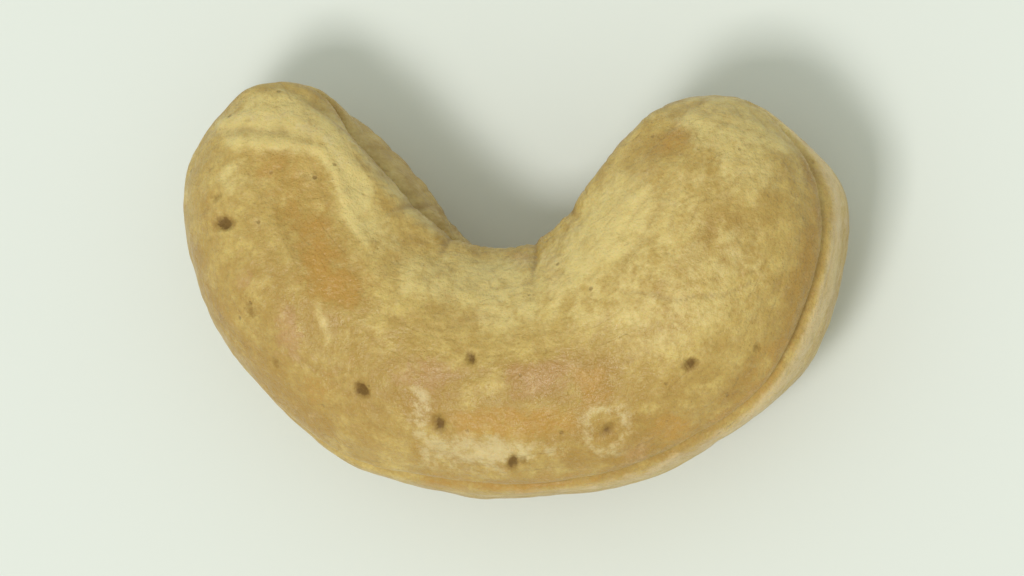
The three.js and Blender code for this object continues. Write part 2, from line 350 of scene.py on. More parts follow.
# Patches with a pink tinge, where a little of the red skin stayed on.
PINK = [
    # below the dish
    ([(-9.7, -0.5), (-9.0, -0.6), (-8.6, -1.6), (-8.9, -2.6), (-9.6, -2.4), (-9.8, -1.4)], 0.45, 0.8),
    # near the edge of the narrow lobe
    ([(-11.5, 0.5), (-10.8, 0.8), (-10.4, 0.4), (-11.0, 0.0)], 0.35, 0.6),
    # beside the largest pit
    ([(-10.8, 3.0), (-10.0, 2.9), (-10.1, 2.4), (-10.9, 2.6)], 0.25, 0.5),
    # above the worn streak
    ([(-4.7, -2.6), (-2.4, -2.9), (-2.2, -3.8), (-3.9, -4.2), (-5.0, -3.6)], 0.5, 0.6),
    # the middle of the back
    ([(-0.4, -2.9), (2.4, -2.7), (2.2, -4.1), (-0.2, -4.4)], 0.5, 0.6),
    # in the bend
    ([(-0.2, 1.5), (0.6, 1.5), (0.5, 0.8), (-0.1, 0.8)], 0.3, 0.6),
    # beside the fold in the bend
    ([(1.1, 1.4), (2.3, 1.5), (2.0, 0.2), (1.3, -0.4)], 0.35, 0.6),
    # between the blister and the seam
    ([(4.6, -6.2), (5.6, -6.3), (5.4, -6.9), (4.4, -6.9)], 0.4, 0.5),
]

# Pale patches; two of them are partly painted light, where the skin slopes away from the lamp.
PALE = [
    # the plump half of the body
    ([(1.6, 1.0), (2.7, 3.0), (4.2, 4.5), (6.0, 4.9), (7.6, 4.4), (8.0, 2.0), (9.6, 0.8),
      (9.2, -1.2), (8.0, -2.4), (6.5, -2.8), (4.7, -2.6), (4.0, -2.0), (1.8, -1.6)], 1.2, 0.5),
    # beside the top of the dish
    ([(-8.0, 6.0), (-6.8, 5.9), (-5.8, 4.4), (-5.9, 3.0), (-6.9, 2.8), (-7.2, 3.6), (-7.4, 4.8)],
     0.4, 1.0),
    # beside the middle of the dish
    ([(-7.2, 4.0), (-6.0, 4.2), (-4.8, 2.6), (-4.6, 1.5), (-6.2, 1.7), (-6.9, 2.6)], 0.9, 0.65),
    # the concave edge of the narrow lobe
    ([(-9.0, 8.0), (-7.0, 7.1), (-5.0, 5.0), (-3.0, 3.0), (-3.4, 1.8), (-5.0, 3.4), (-6.6, 5.4),
      (-8.4, 6.8)], 0.5, 0.6),
    # across the narrow tip, partly painted light where the skin slopes away from the lamp
    ([(-12.4, 6.6), (-11.2, 7.9), (-9.2, 8.2), (-7.6, 7.2), (-6.4, 5.8), (-7.2, 5.4), (-8.6, 6.0),
      (-10.4, 6.2), (-11.6, 5.8)], 0.5, 0.78),
    # above the largest pit
    ([(-12.3, 5.4), (-11.2, 5.5), (-11.0, 4.4), (-11.4, 3.9), (-11.9, 4.1), (-12.2, 4.6)], 0.45, 0.6),
    # beside the largest pit
    ([(-10.8, 3.0), (-10.0, 2.9), (-10.1, 2.4), (-10.9, 2.6)], 0.25, 0.4),
    # a spot at the top of the dish
    ([(-9.0, 5.2), (-8.1, 5.2), (-7.9, 4.2), (-8.7, 3.8)], 0.4, 0.35),
    # the middle of the plump lobe
    ([(7.0, 1.8), (8.0, 1.8), (8.0, 0.2), (7.0, 0.0)], 0.5, 0.3),
    # the plump lobe, towards the seam
    ([(9.0, 1.8), (10.2, 1.6), (10.2, -0.8), (9.4, -1.0)], 0.5, 0.4),
    # in the bend
    ([(-4.6, 1.6), (-1.6, 1.5), (0.6, 1.2), (3.0, 2.8), (3.6, 1.0), (1.4, -1.4), (-0.6, -1.9),
      (-2.6, -0.9), (-4.8, -0.2)], 0.8, 0.65),
    # across the plump tip
    ([(5.0, 6.6), (6.4, 7.4), (9.0, 7.8), (11.4, 6.6), (12.4, 5.0), (10.8, 5.2), (8.6, 5.6),
      (7.4, 5.6), (6.6, 6.9)], 0.6, 0.75),
    # round the plump tip
    ([(6.6, 7.0), (8.0, 8.4), (10.6, 8.2), (12.6, 6.6), (11.8, 6.0), (10.2, 7.0), (8.4, 7.3)],
     0.3, 0.6),
    # the concave edge of the plump lobe
    ([(1.4, 1.2), (2.6, 3.4), (4.2, 4.6), (5.8, 4.4), (6.2, 2.6), (4.8, 1.0), (2.2, -0.4)], 0.9, 0.8),
    # the plump lobe, below its tip: painted light where the skin slopes away from the lamp
    ([(8.0, 6.4), (10.4, 6.2), (10.8, 4.0), (9.6, 3.0), (8.0, 4.0)], 0.7, 0.6),
    # the middle of the bend
    ([(-2.0, 1.4), (0.4, 1.2), (0.8, -0.6), (-1.6, -0.8)], 0.6, 0.8),
    # below the spot near the plump tip
    ([(5.6, 5.2), (7.8, 5.2), (8.2, 3.4), (6.0, 3.4)], 0.8, 0.4),
    # a streak on the plump lobe
    ([(8.2, 2.4), (9.8, 2.4), (9.9, 0.6), (8.6, -0.4)], 0.7, 0.6),
    # outside the seam at the plump tip
    ([(9.0, 8.4), (11.4, 7.8), (13.6, 5.6), (13.2, 3.9), (12.3, 5.3), (10.5, 6.7)], 0.3, 0.8),
]

# Skin rubbed off, dry and whitish.
SCUFFED = [
    # the turned-up end of the worn streak
    ([(-4.2, -3.9), (-3.5, -3.7), (-3.4, -5.0), (-3.4, -6.1), (-4.2, -5.9)], 0.34, 0.78),
    # the worn streak
    ([(-3.9, -5.9), (-3.0, -5.8), (-0.8, -5.85), (0.6, -6.0), (0.8, -6.8), (-0.8, -7.2),
      (-2.6, -7.1), (-3.7, -6.8)], 0.5, 1.0),
    # its faint end, towards the blister
    ([(0.8, -6.0), (2.5, -6.2), (2.4, -6.8), (0.8, -7.0)], 0.4, 0.4),
    # a small spot above it
    ([(-2.9, -3.0), (-2.4, -3.1), (-2.5, -3.6), (-3.0, -3.5)], 0.25, 0.4),
    # beside the narrow tip
    ([(-7.9, 6.5), (-7.2, 6.1), (-7.6, 5.8), (-8.4, 6.3)], 0.3, 0.4),
    # on the ridge across the narrow tip
    ([(-11.9, 6.6), (-11.2, 7.3), (-10.1, 7.4), (-9.0, 7.1), (-8.2, 6.7), (-7.2, 5.9), (-6.5, 4.9),
      (-7.0, 5.0), (-7.8, 5.9), (-8.8, 6.6), (-10.2, 6.9), (-11.2, 6.7)], 0.25, 0.5),
]
SCUFF_DEPTH = 0.03

# Fine raised ridges: points, width, height, how pale.
RIDGES = [
    # across the narrow tip
    ([(-12.0, 6.8), (-11.2, 7.15), (-10.2, 7.2), (-9.2, 6.95), (-8.4, 6.6), (-7.4, 5.85),
      (-6.6, 4.9)], 0.28, 0.08, 0.95),
    # round the top and the inner edge of the dish
    ([(-11.4, 6.2), (-10.4, 6.05), (-9.0, 5.95), (-7.95, 5.65), (-7.4, 5.0), (-7.0, 4.0),
      (-6.6, 2.9), (-6.1, 2.0)], 0.3, 0.08, 0.95),
    # the outer edge of the dish
    ([(-10.9, 4.3), (-10.1, 3.5), (-9.5, 2.3), (-9.0, 1.0)], 0.2, 0.03, 0.2),
    # a short one on the plump lobe
    ([(5.8, 2.7), (6.9, 2.72)], 0.14, 0.03, 0.4),
    # below the dish
    ([(-7.95, -0.5), (-7.75, -1.4), (-7.6, -2.0)], 0.22, 0.03, 0.5),
]

# Fine sunken lines: points, width, depth, how brown.
SCORES = [
    # across the plump lobe
    ([(4.4, -0.1), (5.6, -0.35), (6.8, -0.5), (8.5, -0.35), (9.6, 0.2)], 0.13, 0.05, 0.4),
    # round the plump tip: its brown is painted shade of the groove there
    ([(6.2, 7.1), (8.4, 7.05), (10.2, 6.6), (11.5, 5.6), (12.2, 4.4)], 0.3, 0.03, 0.3),
    # between the two ridges at the narrow tip
    ([(-11.7, 6.45), (-10.9, 6.6), (-10.2, 6.55), (-9.3, 6.45)], 0.18, 0.05, 0.36),
    # near the seam below the plump lobe
    ([(8.2, -3.9), (8.9, -4.4), (9.4, -4.3)], 0.12, 0.03, 0.3),
    # beside the plump lobe
    ([(2.6, -2.2), (3.6, -1.9), (4.4, -1.5)], 0.12, 0.03, 0.2),
]
SCORE_BROWN_WIDTH = 1.3

# The painted shade of the groove just above the seam, in the toast colour, and the paler strip below it,
# both towards the plump tip.
SEAM_GROOVE_SHADE = (0.5, 0.6, 0.75)
RIM_FROM = (0.1, 0.6)
RIM_TO = (1.0, 2.8)

# Colours of the flesh, its marks and the studio.
COLORS = {
    "flesh": "b5964e",
    "light flesh": "bea25b",
    "mottle": "d8bf74",
    "streak": "a98641",
    "freckle": "a98744",
    "speck": "98763a",
    "toast_and_shade": "a5803a",
    "orange": "b88c3e",
    "pink": "b98f61",
    "pale": "dfca86",
    "raised": "d9c07a",
    "rim": "dbc190",
    "scuff": "d8c594",
    "furrow": "96733a",
    # painted shade for the valley that the seam runs in
    "valley_shade": "a59468",
    "brown": "84602b",
    "pit halo": "8b6a2a",
    "pit heart": "664613",
    "pinhole": "80602f",
    "floor": "dde1dd",
    "daylight": "f9fff3",
}

# Mottling over the flesh, in this order: colour, stretch along the grain or None, scale, detail,
# roughness and distortion of the noise, the span of it that shows, strength.
MOTTLING = [
    ("mottle", None, 0.85, 3.0, 0.55, 0.3, (0.38, 0.64), 0.6),
    ("streak", (0.3, 1.3, 1.3), 1.0, 4.0, 0.6, 0.0, (0.42, 0.68), 0.35),
    ("freckle", None, 2.4, 3.0, 0.6, 0.0, (0.42, 0.66), 0.35),
    ("speck", None, 8.0, 2.0, 0.5, 0.0, (0.45, 0.7), 0.25),
]

# Bumps too fine for the mesh: strength, height in millimetres.
PEBBLE_BUMP = (1.0, 0.16)
FIBRE_BUMP = (0.22, 0.07)
PORE_BUMP = (0.9, 0.04)
WRINKLE_BUMP = (0.4, -0.04)
PINHOLE_BUMP = (0.6, -0.08)

# How the flesh shines, and how light passes a little way into it, red the furthest.
FLESH_IOR = 1.46
FLESH_GLOSS = 0.5
GLOW_SHARE = 0.2
GLOW_BY_COLOR = (1.0, 0.6, 0.25)
GLOW_DEPTH = 0.6

# The studio, in metres: a paper floor, an even sky, and one large lamp as soft as a window.
FLOOR_HALF_SIZE = 1.5
FLOOR_ROUGHNESS = 0.8
FLOOR_GLOSS = 0.2
SKY_STRENGTH = 0.7
WINDOW_PLACE = (-0.16, -0.42, 1.0)
WINDOW_SIDE = 0.28
WINDOW_WATTS = 5.8
WINDOW_COLOR = (1.0, 0.985, 0.96)

# The camera, in metres from the middle of the kernel, and how much of the picture's width the
# kernel takes up.
CAMERA_OFFSET = (0.098, -0.034, 0.45)
KERNEL_SHARE_OF_PICTURE = 0.66


def bell(distance, width):
    """1 at no distance, falling away over the width."""
    return np.exp(-((distance / width) ** 2))


def plateau(distance, width):
    """Like bell, flatter on top and steeper at its edge."""
    return np.exp(-((distance / width) ** 4))


def smooth(value, low, high):
    """0 up to low, 1 from high, with an even rise between."""
    share = np.clip((value - low) / (high - low), 0, 1)
    return share * share * (3 - 2 * share)


def concave_share(angle):
    """0 on the convex edge, 1 on the concave edge."""
    return (1 - np.cos(angle)) / 2


def between_tips(share):
    """1 along the body, falling to 0 at both tips."""
    return smooth(share, 0, TIP_REACH) * smooth(1 - share, 0, TIP_REACH)


def spline(poles, place, indices):
    """A uniform cubic B-spline through rows of poles, picked by indices(first pole)."""
    span = np.floor(place).astype(int)
    u = (place - span)[:, None]
    weights = [(1 - u) ** 3, 3 * u**3 - 6 * u**2 + 4, -3 * u**3 + 3 * u**2 + 3 * u + 1, u**3]
    return sum(weight / 6 * poles[indices(span + k - 1)] for k, weight in enumerate(weights))


def outline(t):
    """The outline in plan, from the narrow tip round the convex edge and back, for t from 0 to 1."""
    corners = np.array([NARROW_TIP, *CONVEX_EDGE, PLUMP_TIP, *reversed(CONCAVE_EDGE)])
    # Poles outside the corners, so that the curve comes close to the corners themselves.
    poles = corners * 4 / 3 - (np.roll(corners, 1, 0) + np.roll(corners, -1, 0)) / 6
    count = len(corners)
    return spline(poles, (t % 1) * count, lambda i: i % count)


def blend_row(values, share):
    """The row's value at each share of the way from tip to tip, level at both tips."""
    row = np.array(values, float)[:, None]
    last = len(values) - 1
    place = np.minimum(share * last, last - 1e-9)
    return spline(row, place, lambda i: last - np.abs(last - np.abs(i)))[:, 0]


class Sections:
    """The cross-section at each vertex."""

    def __init__(self, share):
        convex = outline(share / 2)
        concave = outline(1 - share / 2)
        self.share = share
        self.middle = (convex + concave) / 2
        self.reach = (convex - concave) / 2
        self.height = blend_row(MID_HEIGHT, share)
        self.half_thickness = np.linalg.norm(self.reach, axis=1) * blend_row(THICKNESS_PER_WIDTH, share)
        self.convex_rise = np.radians(blend_row(CONVEX_SEAM_RISE, share))
        self.concave_rise = np.radians(blend_row(CONCAVE_SEAM_RISE, share))


def spine_length(share):
    """How far along the middle of the body each share of the way is."""
    steps = np.linspace(0, 1, SPINE_STEPS)
    middle = Sections(steps).middle
    lengths = np.concatenate([[0], np.cumsum(np.linalg.norm(np.diff(middle, axis=0), axis=1))])
    return np.interp(share, steps, lengths)


def body_points(sections, angle):
    """The bare body: an ellipse at each section, a little full, turned so that the seam rises."""
    concave = concave_share(angle)
    turned = angle + sections.convex_rise * (1 - concave) - sections.concave_rise * concave
    fullness = 1 + SECTION_FULLNESS * np.sin(2 * turned) ** 2
    plan = sections.middle + sections.reach * (np.cos(turned) * fullness)[:, None]
    z = sections.height + sections.half_thickness * np.sin(turned) * fullness
    return np.column_stack([plan, z])


def turned_offset(points, at, degrees):
    """Each point's offset in plan from a place, along a heading and to its left."""
    offset = points[:, :2] - np.array(at)
    c, s = math.cos(math.radians(degrees)), math.sin(math.radians(degrees))
    return offset[:, 0] * c + offset[:, 1] * s, -offset[:, 0] * s + offset[:, 1] * c


def line_distance(points, line):
    """Each point's distance in plan from a line through several points."""
    best = np.full(len(points), np.inf)
    for a, b in zip(np.array(line[:-1]), np.array(line[1:])):
        along = np.clip((points[:, :2] - a) @ (b - a) / ((b - a) @ (b - a)), 0, 1)
        best = np.minimum(best, np.linalg.norm(points[:, :2] - a - along[:, None] * (b - a), axis=1))
    return best


def patch_depth(points, corners):
    """How far inside a closed patch each point is; negative outside it."""
    inside = np.zeros(len(points), bool)
    for (ax, ay), (bx, by) in zip(corners, corners[1:] + corners[:1]):
        crosses = (ay > points[:, 1]) != (by > points[:, 1])
        reach = ax + (points[:, 1] - ay) * (bx - ax) / (by - ay if by != ay else 1)
        inside ^= crosses & (points[:, 0] < reach)
    away = line_distance(points, corners + corners[:1])
    return np.where(inside, away, -away)


def field(points, size, seed):
    """Perlin noise at each point, from about -1 to 1."""
    scaled = points / np.array(size) + seed * np.array([17.3, 5.9, 11.1])
    return np.array([noise.noise(place) for place in scaled.tolist()])


def creases(points, size, seed, sharpness):
    """Lines where the noise passes through 0: 1 on a line, falling off beside it."""
    return (1 - np.abs(field(points, size, seed))) ** sharpness


def seam_relief(sections, angle, above):
    """The crease, its lips, and the valley on the concave side."""
    concave = concave_share(angle)
    body = between_tips(sections.share)
    on_body = CREASE_CONVEX + CREASE_MORE_IF_CONCAVE * concave
    crease = CREASE_AT_TIPS + (on_body - CREASE_AT_TIPS) * body
    lip = LIP_HEIGHT + LIP_MORE_IF_CONCAVE * concave * body
    away = np.abs(above)
    shoulders = SHOULDER_HEIGHT * bell(away - SHOULDER_AWAY, SHOULDER_WIDTH)
    valley = shoulders - VALLEY_DEPTH * bell(away, VALLEY_WIDTH)
    seam = lip * bell(away - LIP_AWAY, LIP_WIDTH) - crease * bell(away, CREASE_WIDTH)
    return seam + valley * body * concave**3


def bud_relief(points, above):
    """The bud of the germ and the furrow round it, by the narrow tip."""
    middle = body_points(Sections(np.array([BUD_SHARE])), np.array([math.pi]))[0]
    along = np.hypot(points[:, 0] - middle[0], points[:, 1] - middle[1])
    away = np.hypot(along / BUD_REACH[0], above / BUD_REACH[1])
    furrow_away, furrow_width, furrow_depth = BUD_FURROW
    return BUD_HEIGHT * bell(away, 1) - furrow_depth * bell(away - furrow_away, furrow_width)


def gather_share(x, high, length, face, end):
    """How much of a fold shows: all of it near its start, none past its end or on the other face."""
    along = smooth(x, -GATHER_LEAD, 0) * (1 - smooth(x, length * end[0], length * end[1]))
    return along * smooth(high * face, *GATHER_FADE)


def form_relief(points, sections, angle, above):
    """The forms that the solid has too, as heights over the bare body."""
    high = points[:, 2] - sections.height
    high_share = high / np.maximum(sections.half_thickness, LEAST_THICKNESS)
    relief = seam_relief(sections, angle, above) + bud_relief(points, above)
    for at, reach, turn, height, face in SWELLINGS:
        x, y = turned_offset(points, at, turn)
        away = np.hypot(x / reach[0], y / reach[1])
        relief += height * bell(away, 1) * smooth(high_share * face, 0, SWELLING_FADE)
    for at, heading, length, width, depth, face in GATHERS:
        x, y = turned_offset(points, at, heading)
        relief -= depth * gather_share(x, high, length, face, GATHER_FORM_END) * bell(y, width)
    for along, length, height, phase in WAVES:
        relief += height * np.sin(2 * math.pi * (points @ np.array(along)) / length + phase)
    return relief


class Skin:
    """The kernel's mesh, moved vertex by vertex."""

    def __init__(self):
        ball = bmesh.new()
        bmesh.ops.create_uvsphere(ball, u_segments=SEGMENTS_ROUND, v_segments=SEGMENTS_ALONG, radius=1)
        self.mesh = bpy.data.meshes.new("kernel_skin")
        ball.to_mesh(self.mesh)
        ball.free()
        self.mesh.shade_smooth()

    def places(self):
        values = np.empty(3 * len(self.mesh.vertices), np.float32)
        self.mesh.vertices.foreach_get("co", values)
        return values.reshape(-1, 3).astype(float)

    def move(self, places):
        self.mesh.vertices.foreach_set("co", places.astype(np.float32).ravel())
        self.mesh.update()

    def normals(self):
        values = np.empty(3 * len(self.mesh.vertices), np.float32)
        self.mesh.vertex_normals.foreach_get("vector", values)
        return values.reshape(-1, 3).astype(float)

    def store(self, name, values):
        layer = self.mesh.attributes.new(name, "FLOAT" if values.ndim == 1 else "FLOAT_VECTOR", "POINT")
        layer.data.foreach_set("value" if values.ndim == 1 else "vector", values.astype(np.float32).ravel())


class Surface:
    """What the marks go by, at each vertex of the formed kernel."""

    def __init__(self, points, normals, sections, angle, above):
        self.points = points
        self.normals = normals
        self.share = sections.share
        self.above = above
        self.high = points[:, 2] - sections.height
        self.concave = concave_share(angle)
        self.body = between_tips(sections.share)
        # The body straightened out: along the spine, towards the convex edge, up.
        girth = np.maximum(sections.half_thickness, LEAST_GIRTH)
        across = girth * np.cos(angle)
        self.straight = np.column_stack([spine_length(sections.share), across, girth * np.sin(angle)])
        self.seen = points[:, :2] - np.outer(points[:, 2] - SEAM_PLANE, VIEW_SLOPE)
        self.facing = normals @ np.array([*VIEW_SLOPE, 1]) / math.hypot(*VIEW_SLOPE, 1)
        self.top = smooth(self.facing, *FACING_FADE)
        self.wander = field(points, 1.3, 1)
        self.strays = self.seen + STRAY * np.column_stack([self.wander, field(points, 1.1, 2)])

    def patches(self, marks):
        """The strongest of the patches at each point."""
        strongest = np.zeros(len(self.points))
        for corners, softness, strength in marks:
            depth = patch_depth(self.strays, corners)
            strongest = np.maximum(strongest, strength * smooth(depth, -softness, softness) * self.top)
        return strongest

    def blister_ring(self):
        """How far outside the ring of the blister each point is; negative inside it."""
        (x, y), radius = BLISTER
        away = np.hypot(self.seen[:, 0] - x, self.seen[:, 1] - y)
        return away + BLISTER_STRAY * self.wander - radius


def seam_split(surface):
    """The seam's own split, which wanders and closes up in places."""
    line = surface.above + SPLIT_WANDER * field(surface.straight, SPLIT_WANDER_GRAIN, 3)
    opening = smooth(field(surface.straight, SPLIT_OPEN_GRAIN, 4), -0.3, 0.2)
    return bell(line, SPLIT_WIDTH) * (SPLIT_LEAST_OPEN + (1 - SPLIT_LEAST_OPEN) * opening)


def furrows_along(surface):
    """Furrows along the body, in some areas only."""
    furrows = creases(surface.straight, FURROW_GRAIN, 5, FURROW_SHARPNESS)
    return furrows * smooth(field(surface.points, 4.0, 6), -0.15, 0.35)


def wrinkles_across(surface):
    """Short wrinkles across the concave side."""
    wrinkles = creases(surface.straight, WRINKLE_GRAIN, 7, WRINKLE_SHARPNESS)
    return wrinkles * smooth(surface.concave, 0.45, 0.9) * surface.body


def pit_marks(surface):
    """The relief of the pits, and how dark they are."""
    relief = np.zeros(len(surface.points))
    dark = np.zeros(len(surface.points))
    jag = PIT_JAG * field(surface.points, 0.4, 11)
    lip_away, lip_width, lip_height = PIT_LIP
    for at, radius, depth, darkness in PITS:
        turn = 70 * at[0] + 40 * at[1]
        x, y = turned_offset(surface.seen, at, turn)
        away = np.hypot(x * PIT_STRETCH[0], y * PIT_STRETCH[1]) + jag
        lip = lip_height * bell(away - lip_away * radius, lip_width * radius)
        relief += (lip - depth * plateau(away, radius)) * surface.top
        dark = np.maximum(dark, darkness * (1 - smooth(away / radius, *PIT_HALO)) * surface.top)

    off_seam = np.abs(surface.above) > 1.2
    off_tips = (surface.share > 0.08) & (surface.share < 0.92)
    hidden = np.flatnonzero((surface.facing < 0.05) & off_seam & off_tips)
    least, most = SMALL_PIT_RADIUS
    for at in surface.points[hidden[:: len(hidden) // SMALL_PITS_ELSEWHERE]]:
        radius = least + (most - least) * abs(math.sin(7 * at[0] + 3 * at[1]))
        away = np.linalg.norm(surface.points - at, axis=1) + jag
        relief -= SMALL_PIT_DEPTH * radius * plateau(away, radius)
        dark = np.maximum(dark, SMALL_PIT_DARKNESS * (1 - smooth(away / radius, *PIT_HALO)))
    return relief, dark


def ridge_marks(surface):
    """The relief of the fine ridges, and how pale they are."""
    relief = np.zeros(len(surface.points))
    pale = np.zeros(len(surface.points))
    places = surface.seen + RIDGE_STRAY * (surface.strays - surface.seen)
    for line, width, height, paleness in RIDGES:
        ridge = bell(line_distance(places, line), width) * surface.top
        relief += height * ridge
        pale = np.maximum(pale, paleness * ridge)
    return relief, pale


def score_marks(surface):
    """The relief of the fine sunken lines, and how brown they are."""
    relief = np.zeros(len(surface.points))
    brown = np.zeros(len(surface.points))
    for line, width, depth, brownness in SCORES:
        away = line_distance(surface.strays, line)
        relief -= depth * bell(away, width) * surface.top
        brown = np.maximum(brown, brownness * bell(away, width * SCORE_BROWN_WIDTH) * surface.top)
    return relief, brown


def brown_folds(surface):
    """How brown the bottoms of the folds at the bend are."""
    brown = np.zeros(len(surface.points))
    for at, heading, length, width, _, face in GATHERS:
        x, y = turned_offset(surface.points, at, heading)
        y = y + GATHER_STRAY * surface.wander
        shown = gather_share(x, surface.high, length, face, GATHER_BROWN_END)
        brown = np.maximum(brown, GATHER_BROWN * shown * bell(y, width * GATHER_BROWN_WIDTH))
    return brown


def seam_bands(surface):
    """The painted shade of the groove just above the seam, in the toast colour, and the pale strip below
    it, on the convex side.
    """
    outer = smooth(1 - surface.concave, 0.6, 0.9)
    height, width, strength = SEAM_GROOVE_SHADE
    toast_and_shade = strength * bell(surface.above - height, width) * outer * surface.top
    toast_and_shade *= smooth(surface.share, 0.25, 0.7)
    below = -surface.above
    rim = smooth(below, *RIM_FROM) * (1 - smooth(0.9 * surface.wander + below, *RIM_TO)) * outer
    rim *= smooth(surface.share, 0.4, 0.75) * (0.8 + 0.35 * surface.wander)
    return toast_and_shade, rim


def dish_relief(surface):
    """The shallow dish, with a low step round it."""
    inside = patch_depth(surface.strays, DISH)
    step_away, step_width, step_height = DISH_STEP
    step = step_height * bell(inside + step_away, step_width)
    return (step - DISH_DEPTH * smooth(inside, -0.4, 0.7)) * surface.top


def set_down(points):
    """Puts the kernel on the floor where the solid lies, a little worn off underneath."""
    low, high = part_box("cashew_kernel")
    centre = np.array([(low.x + high.x) / 2, (low.y + high.y) / 2]) / MM
    points[:, :2] += centre - (points[:, :2].min(0) + points[:, :2].max(0)) / 2
    points[:, 2] = np.maximum(points[:, 2] - points[:, 2].min() - WORN_FLAT, 0)


def build_kernel():
    skin = Skin()
    ball = skin.places()
    across = np.arccos(np.clip(ball[:, 2], -1, 1))
    around = np.arctan2(ball[:, 1], ball[:, 0])
    share = (across - CROWDING_AT_TIPS / 2 * np.sin(2 * across)) / math.pi
    angle = around - CROWDING_AT_SEAM / 2 * np.sin(2 * around)
    sections = Sections(share)
    above = sections.half_thickness * np.sin(angle)

    points = body_points(sections, angle)
    skin.move(points)
    points = points + skin.normals() * form_relief(points, sections, angle, above)[:, None]
    skin.move(points)
    surface = Surface(points, skin.normals(), sections, angle, above)

    split = seam_split(surface)
    furrows = furrows_along(surface)
    pit_relief, pit = pit_marks(surface)
    ridge_relief, ridge_pale = ridge_marks(surface)
    score_relief, score_brown = score_marks(surface)
    seam_groove_shade, rim = seam_bands(surface)
    ring = surface.blister_ring()
    ring_width, ring_height = BLISTER_RING
    scuff_width, scuff_strength = BLISTER_SCUFF
    ring_scuff = scuff_strength * bell(ring, scuff_width) * surface.top
    scuff = np.maximum(surface.patches(SCUFFED), ring_scuff)

    relief = -(SPLIT_DEPTH + SPLIT_MORE_IF_CONCAVE * surface.concave) * split
    relief -= FURROW_DEPTH * furrows
    relief -= WRINKLE_DEPTH * wrinkles_across(surface)
    for size, height, seed in PEBBLING:
        relief += height * field(points, size, seed)
    relief += pit_relief + ridge_relief + score_relief
    relief += ring_height * bell(ring, ring_width) * surface.top
    relief += dish_relief(surface)
    relief -= SCUFF_DEPTH * smooth(scuff, 0.3, 0.6)

    points = points + surface.normals * relief[:, None]
    set_down(points)
    skin.move(points * MM)

    # Toast, with the painted shade of the seam's groove and of a few patches.
    skin.store("toast_and_shade", np.maximum(seam_groove_shade, surface.patches(TOAST_AND_SHADE_PATCHES)))
    skin.store("orange", surface.patches(ORANGE))
    skin.store("pink", surface.patches(PINK))
    # Pale patches, two of them partly painted light where the skin slopes away from the lamp.
    skin.store("pale", np.maximum(surface.patches(PALE), ridge_pale))
    skin.store("scuff", scuff)
    skin.store("rim", rim)
    skin.store("pit", pit)
    skin.store("brown", np.maximum.reduce([score_brown, brown_folds(surface), SPLIT_BROWN * split]))
    skin.store("furrow", furrows)
    skin.store("raised", relief)
    # Painted shade in the valley that the seam runs in, on the concave side.
    skin.store("valley_shade", bell(above, 1.3) * surface.concave**2 * surface.body)
    skin.store("unseen", 1 - surface.top)
    skin.store("grain", surface.straight)
    kernel = bpy.data.objects.new("kernel_skin", skin.mesh)
    bpy.context.scene.collection.objects.link(kernel)
    return kernel


def shade(name):
    """One of the colours as linear RGBA."""
    parts = [int(COLORS[name][i : i + 2], 16) / 255 for i in (0, 2, 4)]
    return [c / 12.92 if c <= 0.04045 else ((c + 0.055) / 1.055) ** 2.4 for c in parts] + [1]


class Mixer:
    """Short calls for the nodes of one material."""

    def __init__(self, name):
        self.material = bpy.data.materials.new(name)
        self.material.use_nodes = True
        self.tree = self.material.node_tree
        self.shader = self.tree.nodes["Principled BSDF"]

    def node(self, kind, settings=None, **inputs):
        node = self.tree.nodes.new(kind)
        for key, value in (settings or {}).items():
            setattr(node, key, value)
        for key, value in inputs.items():
            self.feed(node.inputs[key.replace("_", " ")], value)
        return node

    def feed(self, socket, value):
        if isinstance(value, bpy.types.NodeSocket):
            self.tree.links.new(value, socket)
        else:
            socket.default_value = value

    def object_mm(self):
        coordinates = self.node("ShaderNodeTexCoord").outputs["Object"]
        return self.stretched(coordinates, (1 / MM, 1 / MM, 1 / MM))

    def stretched(self, vector, scale):
        mapping = self.node("ShaderNodeMapping", Vector=vector)
        mapping.inputs["Scale"].default_value = scale
        return mapping.outputs["Vector"]

    def stored(self, name):
        return self.node("ShaderNodeAttribute", {"attribute_name": name}).outputs["Fac"]

    def stored_vector(self, name):
        return self.node("ShaderNodeAttribute", {"attribute_name": name}).outputs["Vector"]

    def clouds(self, vector, scale, detail=3.0, roughness=0.55, distortion=0.0):
        return self.node(
            "ShaderNodeTexNoise",
            Vector=vector,
            Scale=scale,
            Detail=detail,
            Roughness=roughness,
            Distortion=distortion,
        ).outputs["Fac"]

    def span(self, value, low, high, to_low=0.0, to_high=1.0):
        """Spreads the values from low to high over the new span, with soft ends."""
        ranged = self.node("ShaderNodeMapRange", {"interpolation_type": "SMOOTHSTEP"}, Value=value)
        for key, number in (("From Min", low), ("From Max", high), ("To Min", to_low), ("To Max", to_high)):
            ranged.inputs[key].default_value = number
        return ranged.outputs["Result"]

    def math(self, operation, a, b):
        node = self.node("ShaderNodeMath", {"operation": operation})
        self.feed(node.inputs[0], a)
        self.feed(node.inputs[1], b)
        return node.outputs[0]

    def mix(self, factor, a, b):
        node = self.node("ShaderNodeMix", {"data_type": "RGBA"})
        self.feed(node.inputs["Factor"], factor)
        self.feed(node.inputs[6], a)
        self.feed(node.inputs[7], b)
        return node.outputs[2]

    def tint(self, color, where, strength, name):
        """Lays one of the colours over another, where a mark is."""
        return self.mix(self.math("MULTIPLY", where, strength), color, shade(name))

    def bump(self, height, shape, normal=None):
        strength, height_mm = shape
        node = self.node("ShaderNodeBump", Height=height, Strength=strength, Distance=height_mm * MM)
        if normal is not None:
            self.feed(node.inputs["Normal"], normal)
        return node.outputs["Normal"]


